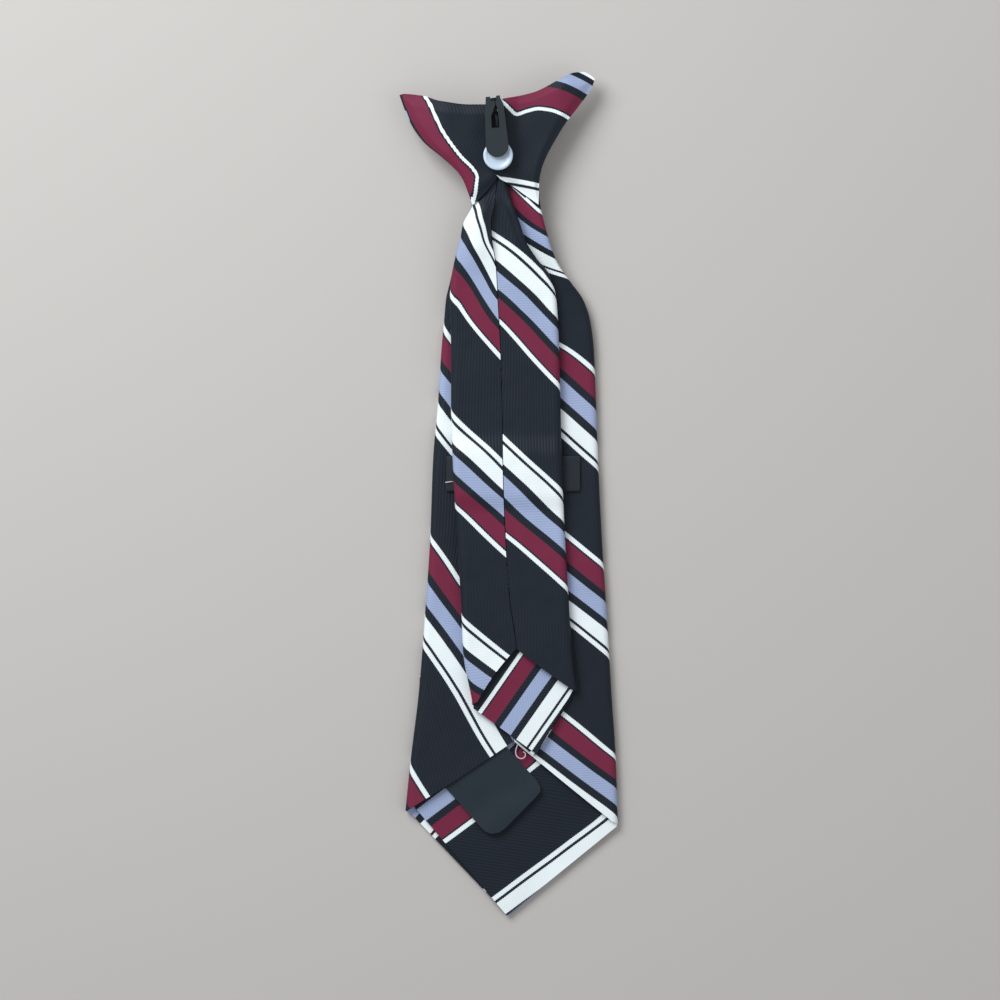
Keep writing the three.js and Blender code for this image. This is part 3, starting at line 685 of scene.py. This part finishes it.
knot_mesh = bpy.data.meshes.new("knot_wrap")
bm = bmesh.new()
bmesh.ops.create_grid(bm, x_segments=KNOT_AROUND, y_segments=KNOT_UP, size=0.5)
weave = bm.verts.layers.float_vector.new("weave")
for v in bm.verts:
    x, y, z = knot_place(round((v.co.x + 0.5) * KNOT_AROUND), round((v.co.y + 0.5) * KNOT_UP))
    v[weave] = Vector((*knot_threads(x, y), 0))
    crease = 0.35 * ripple(x, y, 9, 6.6) + 0.15 * ripple(x, y, 3.5, 2.9)
    v.co = Vector((x, y, max(z + crease * ease(z, 0.0, 3.0), 0.0))) * MM
bmesh.ops.remove_doubles(bm, verts=bm.verts, dist=1e-6)
rim = [e for e in bm.edges if e.is_boundary and e.verts[0].co.y < 0.11 and e.verts[1].co.y < 0.11]
lip = [v for v in bmesh.ops.extrude_edge_only(bm, edges=rim)["geom"] if isinstance(v, bmesh.types.BMVert)]
centre = sum((v.co for v in lip), Vector()) / len(lip)
bmesh.ops.scale(bm, vec=(0.86, 1, 0.6), space=Matrix.Translation(-centre), verts=lip)
bmesh.ops.translate(bm, vec=(0, 0.004, 0), verts=lip)
bmesh.ops.holes_fill(bm, edges=[e for e in bm.edges if e.is_boundary], sides=0)
bmesh.ops.recalc_face_normals(bm, faces=bm.faces)
for face in bm.faces:
    face.smooth = len(face.verts) < 5
bm.to_mesh(knot_mesh)
bm.free()
knot = bpy.data.objects.new("knot_wrap", knot_mesh)
bpy.context.scene.collection.objects.link(knot)
knot.data.materials.append(twill)
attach(knot, "tie")
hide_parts("knot_band")


# The wings are the ends of the knot's band, folded double and pressed flat, and spread like a bow's
# behind the knot. The right one laps over the left. Their stripes bend where the cloth is folded.
LEFT_WING = {
    "bottom": ((-3.7, 105.5), (-7.7, 100.4), (-11.8, 96.2)),
    "top": ((-2.8, 129.6), (-8.2, 129.5), (-12.7, 129.5), (-22.8, 130.8), (-28.2, 132.5), (-34.7, 133.2),
            (-36.2, 132.8)),
    "inner": ((-3.7, 105.5), (-2.4, 110.9), (-1.3, 117.9), (-1.7, 123.9), (-2.8, 129.6)),
    "outer": ((-11.8, 96.2), (-12.7, 98.8), (-15.5, 105.5), (-21.2, 111.5), (-27.8, 117.2), (-32.7, 124.2),
              (-36.2, 132.8)),
}
RIGHT_WING = {
    "bottom": ((-2.8, 104.8), (0.8, 102.8), (5.5, 99.5), (10.0, 96.3)),
    "top": ((-1.7, 131.5), (3.8, 132.5), (8.8, 133.8), (13.8, 136.2), (17.9, 138.5), (22.2, 140.3), (24.9, 140.5),
            (27.2, 139.5), (28.8, 138.2)),
    "inner": ((-2.8, 104.8), (-5.5, 108.2), (-6.5, 112.4), (-6.7, 116.9), (-6.2, 122.9), (-3.8, 128.4),
              (-1.7, 131.5)),
    "outer": ((10.0, 96.3), (10.2, 103.2), (10.9, 107.5), (12.3, 111.5), (16.2, 118.8), (18.9, 123.2),
              (23.2, 128.8), (27.8, 135.5), (28.8, 138.2)),
}


def spline(points, share):
    """A point on a smooth line through a few points, by its share of the length."""
    lengths = [0.0]
    for a, b in zip(points, points[1:]):
        lengths.append(lengths[-1] + math.dist(a, b))
    table_x = [(s, p[0]) for s, p in zip(lengths, points)]
    table_y = [(s, p[1]) for s, p in zip(lengths, points)]
    s = share * lengths[-1]
    return Vector((along(table_x, 1, s), along(table_y, 1, s)))


def smooth_line(points, count=48):
    return [tuple(spline(points, k / count)) for k in range(count + 1)]


def from_line(points, x, y):
    """How far (x, y) lies to the left of a line of points."""
    nearest = None
    for a, b in zip(points, points[1:]):
        a, b = Vector(a), Vector(b)
        ab, ap = b - a, Vector((x, y)) - a
        t = min(1.0, max(0.0, ap.dot(ab) / ab.length_squared))
        away = (ap - ab * t).length
        if nearest is None or away < abs(nearest):
            nearest = math.copysign(away, ab.x * ap.y - ab.y * ap.x)
    return nearest


# The thin white line across each wing, and the first line below the right one's lap
LEFT_WING_LINE = smooth_line((
    (-28.35, 134.5), (-27.25, 132.2), (-24.65, 127.4), (-22.3, 122.0), (-19.6, 117.4), (-15.6, 112.2),
    (-11.6, 108.0), (-10.3, 105.4), (-10.8, 101.5), (-11.6, 97.2), (-11.8, 95.0),
))
RIGHT_WING_LINE = smooth_line((
    (-4.0, 131.4), (-1.4, 129.7), (0.6, 127.7), (2.7, 126.1), (6.2, 127.2), (10.0, 128.0), (14.2, 127.5),
    (17.9, 126.1), (20.8, 124.4), (24.0, 122.1),
))
RIGHT_WING_LOW = ((-5.0, 106.6), (-2.6, 105.5), (1.4, 105.0), (5.5, 104.3), (9.6, 103.4), (13.0, 102.6))


def wing(name, edges, columns, rows, height, threads):
    """A wing's cloth, stretched between its four edges."""
    low_in, low_out, top_in, top_out = (
        Vector(edges[edge][end]) for edge, end in (("bottom", 0), ("bottom", -1), ("top", 0), ("top", -1))
    )

    def place(i, j):
        u, v = i / columns, 1 - j / rows
        point = (
            spline(edges["bottom"], u) * (1 - v) + spline(edges["top"], u) * v
            + spline(edges["inner"], v) * (1 - u) + spline(edges["outer"], v) * u
            - low_in * (1 - u) * (1 - v) - low_out * u * (1 - v) - top_in * (1 - u) * v - top_out * u * v
        )
        return (point.x, point.y, height(point.x, point.y, u, v)), threads(point.x, point.y)

    return sheet_mesh(name, columns, rows, place)


def left_wing_height(x, y, u, v):
    """It droops toward its tip, and its inner edge stays down under the right wing."""
    puff = 1.0 * ease(min(1 - u, v, 1 - v), 0.0, 0.12)
    return 9.6 - 4.0 * ease(-x, 19, 36) + puff + 0.3 * ripple(x, y, 8, 3.1)


def right_wing_height(x, y, u, v):
    """It rises over the left wing, and droops less."""
    puff = 1.0 * ease(min(u, 1 - u, v, 1 - v), 0.0, 0.12)
    over = 1.4 * (1 - ease(x, -1.2, 3.8))
    return 9.7 + over - 2.8 * (ease(x, 16.5, 28.7) if x > 0 else 0) + puff + 0.3 * ripple(x, y, 8, 5.9)


WHITE_LINE_HALF, DRAWN_IN = 0.55, 1.5


def line_band(away):
    """Threads near the thin white line, which the fold draws in to two thirds of its width."""
    reach = abs(away)
    past = reach - WHITE_LINE_HALF
    if past < 0:
        return away * DRAWN_IN
    spread = WHITE_LINE_HALF * DRAWN_IN + past * mix(0.7, 1.0, ease(reach, WHITE_LINE_HALF, 2.0))
    return math.copysign(spread, away)


RIB_RUN = (0.944, 0.330)


def wing_ribs(x, y, across):
    """Places along the threads that keep the ribs straight and steep while the stripes bend."""
    return (x * RIB_RUN[0] + y * RIB_RUN[1]) * math.sqrt(2) - across


# The white line's middle on the cloth, how far past it the left wing's maroon starts, the lap's first line
LINE_MIDDLE, MAROON_FROM, LAP_START = 1.0, 1.2, -23.27


def left_wing_threads(x, y):
    """Past the white line, the maroon fills the wing as far as its outer edge."""
    away = from_line(LEFT_WING_LINE, x, y)
    across = LINE_MIDDLE - line_band(away)
    if away < -MAROON_FROM:
        past = -away - MAROON_FROM
        share = past / (past + abs(from_line(LEFT_WING["outer"], x, y)))
        # Near y 126 a thin lavender band is painted along the outer fold as the highlight on the turned edge.
        turned_edge_highlight = 2.4 * ease(share, 0.86, 0.98) * (1 - ease(abs(y - 126), 1.0, 4.0))
        across = 2.55 + 6.0 * share + turned_edge_highlight
    return across, wing_ribs(x, y, across)


def right_wing_threads(x, y):
    """Past its white line the stripes are drawn in toward the tip. Below the clip they follow the lap."""
    across = LINE_MIDDLE + line_band(from_line(RIGHT_WING_LINE, x, y))
    across -= ease(across, 2.5, 8.0)
    across += 0.45 * max(0.0, across - 10.3)
    across = mix(from_line(RIGHT_WING_LOW, x, y) + LAP_START, across, ease(y, 108, 118))
    return across, wing_ribs(x, y, across)


left_wing = wing("left_wing_cloth", LEFT_WING, 90, 90, left_wing_height, left_wing_threads)
right_wing = wing("right_wing_cloth", RIGHT_WING, 90, 110, right_wing_height, right_wing_threads)
for wing_piece, node, flat, area in (
    (left_wing, "left_wing", (0.036, 0.038), 0.0008), (right_wing, "right_wing", (0.036, 0.045), 0.0009),
):
    thicken(wing_piece, WALL, PRESSED)
    wing_piece.data.materials.append(twill)
    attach(wing_piece, "tie")
    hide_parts(node)


# The collar clip is a steel strip sewn to the wings with an ear and a pin. Its sprung tongue is black
# plastic and closes on a round pad of milky plastic.
def plastic(name, colour, roughness, **sockets):
    material, shader, wire = finish(name, roughness, **sockets)
    place = wire.make("TexCoord", out="Object")
    grain = wire.make("TexNoise", values={"Vector": place, "Scale": 900.0, "Detail": 2.0})
    mottle = wire.make("TexNoise", values={"Vector": place, "Scale": 120.0, "Detail": 3.0})
    lit = (0.85 + mottle * 0.3).scale(colour)
    bump = wire.make("Bump", values={"Strength": 0.25, "Distance": 0.00005, "Height": grain})
    plug(shader, Base_Color=lit, Roughness=roughness + (mottle - 0.5) * 0.2, Normal=bump)
    return material


# Its sizes are in mm from the pad's middle, at the height of the wings, turned as it is sewn on
CLIP_FRAME = Matrix.Translation((-0.003424, 0.112493, 0.0127)) @ Matrix.Rotation(math.radians(5.23), 4, "Z")
PIN_UP, PIN_LEVEL, PIN_RADIUS = 14.8, 2.3, 0.5
CLIP_HALF = 2.6


def clip_piece(name, bm, rounding, material, body, node, cutters=(), unions=()):
    """One hard piece of the clip, cut and joined in its own frame, its edges rounded, then put in place."""
    bmesh.ops.recalc_face_normals(bm, faces=bm.faces)
    piece = bpy.data.objects.new(name, bpy.data.meshes.new(name))
    bpy.context.scene.collection.objects.link(piece)
    bm.to_mesh(piece.data)
    bm.free()
    tools = []
    for operation, shapes in (("UNION", unions), ("DIFFERENCE", cutters)):
        for shape in shapes:
            tool = bpy.data.objects.new("tool", bpy.data.meshes.new("tool"))
            bpy.context.scene.collection.objects.link(tool)
            shape.to_mesh(tool.data)
            shape.free()
            cut = piece.modifiers.new("cut", "BOOLEAN")
            cut.operation, cut.object, cut.solver = operation, tool, "EXACT"
            tools.append(tool)
    round_off = piece.modifiers.new("rounding", "BEVEL")
    round_off.width, round_off.segments, round_off.limit_method = rounding, 3, "ANGLE"
    round_off.angle_limit = math.radians(40)
    made = bpy.data.meshes.new_from_object(piece.evaluated_get(bpy.context.evaluated_depsgraph_get()))
    piece.modifiers.clear()
    piece.data = made
    for tool in tools:
        bpy.data.objects.remove(tool)
    made.transform(CLIP_FRAME @ Matrix.Scale(MM, 4))
    for face in made.polygons:
        face.use_smooth = True
    made.set_sharp_from_angle(angle=math.radians(40))
    made.materials.append(material)
    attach(piece, body)
    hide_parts(node)


def box(low, high):
    bm = bmesh.new()
    bmesh.ops.create_cube(bm, size=1)
    bmesh.ops.scale(bm, vec=[b - a for a, b in zip(low, high)], verts=bm.verts)
    bmesh.ops.translate(bm, vec=[(a + b) / 2 for a, b in zip(low, high)], verts=bm.verts)
    return bm


def bar(radius, start, end):
    """A round bar along the hinge pin."""
    bm = bmesh.new()
    bmesh.ops.create_cone(
        bm, cap_ends=True, segments=40, radius1=radius, radius2=radius, depth=end - start,
        matrix=Matrix.Translation(((start + end) / 2, PIN_UP, PIN_LEVEL)) @ Matrix.Rotation(math.pi / 2, 4, "Y"),
    )
    return bm


def plate(outline, low, high):
    bm = bmesh.new()
    face = bm.faces.new([bm.verts.new((x, y, low)) for x, y in outline])
    grown = bmesh.ops.extrude_face_region(bm, geom=[face])["geom"]
    bmesh.ops.translate(bm, vec=(0, 0, high - low), verts=[v for v in grown if isinstance(v, bmesh.types.BMVert)])
    return bm


# The tongue: a plate with a round end, a slot over the ear, a notch in its press end and two lugs below
LEVER_UNDER, LEVER_OVER = 3.1, 4.3
LEVER_END_UP, LEVER_END_RADIUS = 3.1, 3.75
LEVER_END = [
    (LEVER_END_RADIUS * math.cos(math.radians(a)), LEVER_END_UP + LEVER_END_RADIUS * math.sin(math.radians(a)))
    for a in range(180, 361, 6)
]
LEVER_OUTLINE = (
    *LEVER_END, (3.35, 16.5), (2.75, 18.1), (2.45, 18.8), (2.35, 19.7), (-2.35, 19.5), (-2.6, 17.3), (-3.0, 15.8),
)
LEVER_SLOT = (
    (-1.3, 9.1), (1.3, 9.1), (1.3, 14.5), (1.0, 16.3), (0.75, 16.6), (0.75, 18.3), (0.45, 18.3), (0.45, 16.4),
    (-1.1, 13.1),
)
LEVER_NOTCH = ((-0.9, 18.0, 2.0), (1.1, 21.3, 5.0))
LUG_RADIUS, LUG_INNER, LUG_BORE = 1.0, 1.35, 0.58
clip_piece(
    "clip_tongue", plate(LEVER_OUTLINE, LEVER_UNDER, LEVER_OVER), 0.28,
    plastic("clip_black_plastic", (0.0110, 0.0180, 0.0230), 0.5, Specular_IOR_Level=0.35),
    "lever", "clip_lever",
    unions=(
        bar(LUG_RADIUS, LUG_INNER, CLIP_HALF), bar(LUG_RADIUS, -CLIP_HALF, -LUG_INNER),
        box((LUG_INNER, 13.8, PIN_LEVEL), (CLIP_HALF, 15.8, 3.3)),
        box((-CLIP_HALF, 13.8, PIN_LEVEL), (-LUG_INNER, 15.8, 3.3)),
    ),
    cutters=(plate(LEVER_SLOT, 2.0, 5.0), box(*LEVER_NOTCH), bar(LUG_BORE, -4, 4)),
)
# The strip: the upright ear stands on it inside the tongue's slot, and its foot carries the pin
EAR, EAR_FOOT = ((0.3, 9.5, 0.5), (1.1, 12.9, 3.4)), ((-0.3, 12.7, 0.5), (1.0, 15.7, PIN_LEVEL))
EYE_RADIUS, EYE_BORE = 0.72, 0.56
# Its black is painted darker than the steel's own, as painted shade, and the strip runs on under the tongue's
# notch, so that the notch reads as deep shadow.
clip_piece(
    "clip_strip", box((-2.2, -2.7, 0.0), (2.2, 19.2, 1.0)), 0.16,
    plastic("clip_black_steel_and_notch_shade", (0.0060, 0.0080, 0.0100), 0.48, Specular_IOR_Level=0.2),
    "tie", "clip_base",
    unions=(box(*EAR), box(*EAR_FOOT), bar(EYE_RADIUS, -0.3, 1.0)),
    cutters=(bar(EYE_BORE, -4, 4),),
)
clip_piece(
    "clip_rivet", bar(PIN_RADIUS, -CLIP_HALF, CLIP_HALF), 0.14,
    plastic("pin_steel", (0.30, 0.31, 0.32), 0.4, Metallic=1.0),
    "tie", "clip_pin",
)
# The pad is turned, with a raised rim: radius, height
PAD_PROFILE = (
    (0.0, 2.35), (3.2, 2.4), (3.7, 2.6), (4.05, 2.8), (4.45, 2.8), (4.8, 2.6), (4.92, 2.2), (4.92, 1.6),
    (4.75, 1.3), (0.0, 1.3),
)
pad_round = bmesh.new()
pad_line = [pad_round.verts.new((r, 0, z)) for r, z in PAD_PROFILE]
for a, b in zip(pad_line, pad_line[1:]):
    pad_round.edges.new((a, b))
bmesh.ops.spin(
    pad_round, geom=[*pad_round.verts, *pad_round.edges], cent=(0, 0, 0), axis=(0, 0, 1), angle=2 * math.pi,
    steps=96, use_merge=True,
)
bmesh.ops.remove_doubles(pad_round, verts=pad_round.verts, dist=1e-4)
clip_piece(
    "clip_disc", pad_round, 0.02,
    plastic("pad_milky_plastic", (0.60, 0.68, 0.78), 0.3, Specular_IOR_Level=0.5, Subsurface_Weight=0.15),
    "tie", "clip_pad",
)


# Loose thread: the end of the hand tacking that holds the facing shows as a loop in the wide blade's
# opening, and one pale stitch holds the keeper's left end.
def strand(name, points):
    """A thread along the points, in mm."""
    curve = bpy.data.curves.new(name, "CURVE")
    curve.dimensions = "3D"
    curve.bevel_depth, curve.bevel_resolution, curve.resolution_u = THREAD_RADIUS * MM, 3, 10
    line = curve.splines.new("NURBS")
    line.points.add(len(points) - 1)
    for point, place in zip(line.points, points):
        point.co = (*(Vector(place) * MM), 1)
    line.use_endpoint_u = True
    line.order_u = 4
    drawn = bpy.data.objects.new(name, curve)
    bpy.context.scene.collection.objects.link(drawn)
    mesh = bpy.data.meshes.new_from_object(drawn.evaluated_get(bpy.context.evaluated_depsgraph_get()))
    bpy.data.objects.remove(drawn)
    thread = bpy.data.objects.new(name, mesh)
    bpy.context.scene.collection.objects.link(thread)
    mesh.materials.append(pale_thread)
    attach(thread, "tie")


THREAD_RADIUS = 0.2
pale_thread = plain_cloth("pale_thread", (0.62, 0.50, 0.56), 0.4, 0.6)
strand("tack_thread", (
    (3.2, -83.0, 2.9), (2.6, -84.6, 2.8), (2.2, -86.0, 2.6), (3.0, -87.7, 2.9), (4.7, -88.2, 3.1),
    (6.0, -87.0, 2.7), (5.6, -85.9, 2.4), (4.9, -85.7, 2.2),
))
strand("keeper_stitch", ((-20.9, 4.0, 4.6), (-20.0, 4.15, 5.2), (-19.2, 4.2, 5.2), (-18.4, 4.3, 4.6)))


# The studio: a plain pale floor, soft light from a wide window on the upper left, and the camera
# straight above, as the photograph was taken.
floor_mesh = bpy.data.meshes.new("floor")
bm = bmesh.new()
bmesh.ops.create_grid(bm, x_segments=2, y_segments=2, size=1.5)
bm.to_mesh(floor_mesh)
bm.free()
floor = bpy.data.objects.new("floor", floor_mesh)
bpy.context.scene.collection.objects.link(floor)
floor.location.z = -0.0002
floor_paint, floor_shader, floor_wire = finish("pale_floor", 0.85)
floor_shader.inputs["Base Color"].default_value = (0.50, 0.475, 0.45, 1)
floor.data.materials.append(floor_paint)


def lamp(name, place, size, power, colour):
    light = bpy.data.lights.new(name, "AREA")
    light.shape = "RECTANGLE"
    light.size, light.size_y = size
    light.energy = power
    light.color = colour
    lamp_object = bpy.data.objects.new(name, light)
    lamp_object.location = place
    lamp_object.rotation_euler = (-Vector(place)).to_track_quat("-Z", "Y").to_euler()
    bpy.context.scene.collection.objects.link(lamp_object)


lamp("window", (-0.42, 0.52, 0.62), (0.55, 0.5), 7.9, (0.95, 0.98, 1.0))
lamp("fill", (0.9, -0.2, 1.0), (1.0, 1.0), 2.5, (1.0, 0.98, 0.95))
world = bpy.data.worlds.new("studio")
bpy.context.scene.world = world
world.use_nodes = True
world.node_tree.nodes["Background"].inputs["Color"].default_value = (0.93, 0.96, 1.0, 1)
world.node_tree.nodes["Background"].inputs["Strength"].default_value = 0.45

camera = bpy.data.objects.new("camera", bpy.data.cameras.new("camera"))
bpy.context.scene.collection.objects.link(camera)
camera.location = (-0.00279, -0.00184, 3.0)
camera.data.sensor_width = 36
camera.data.lens = 324
camera.data.clip_start = 0.01
bpy.context.scene.camera = camera

bpy.context.scene.view_settings.view_transform = "Standard"
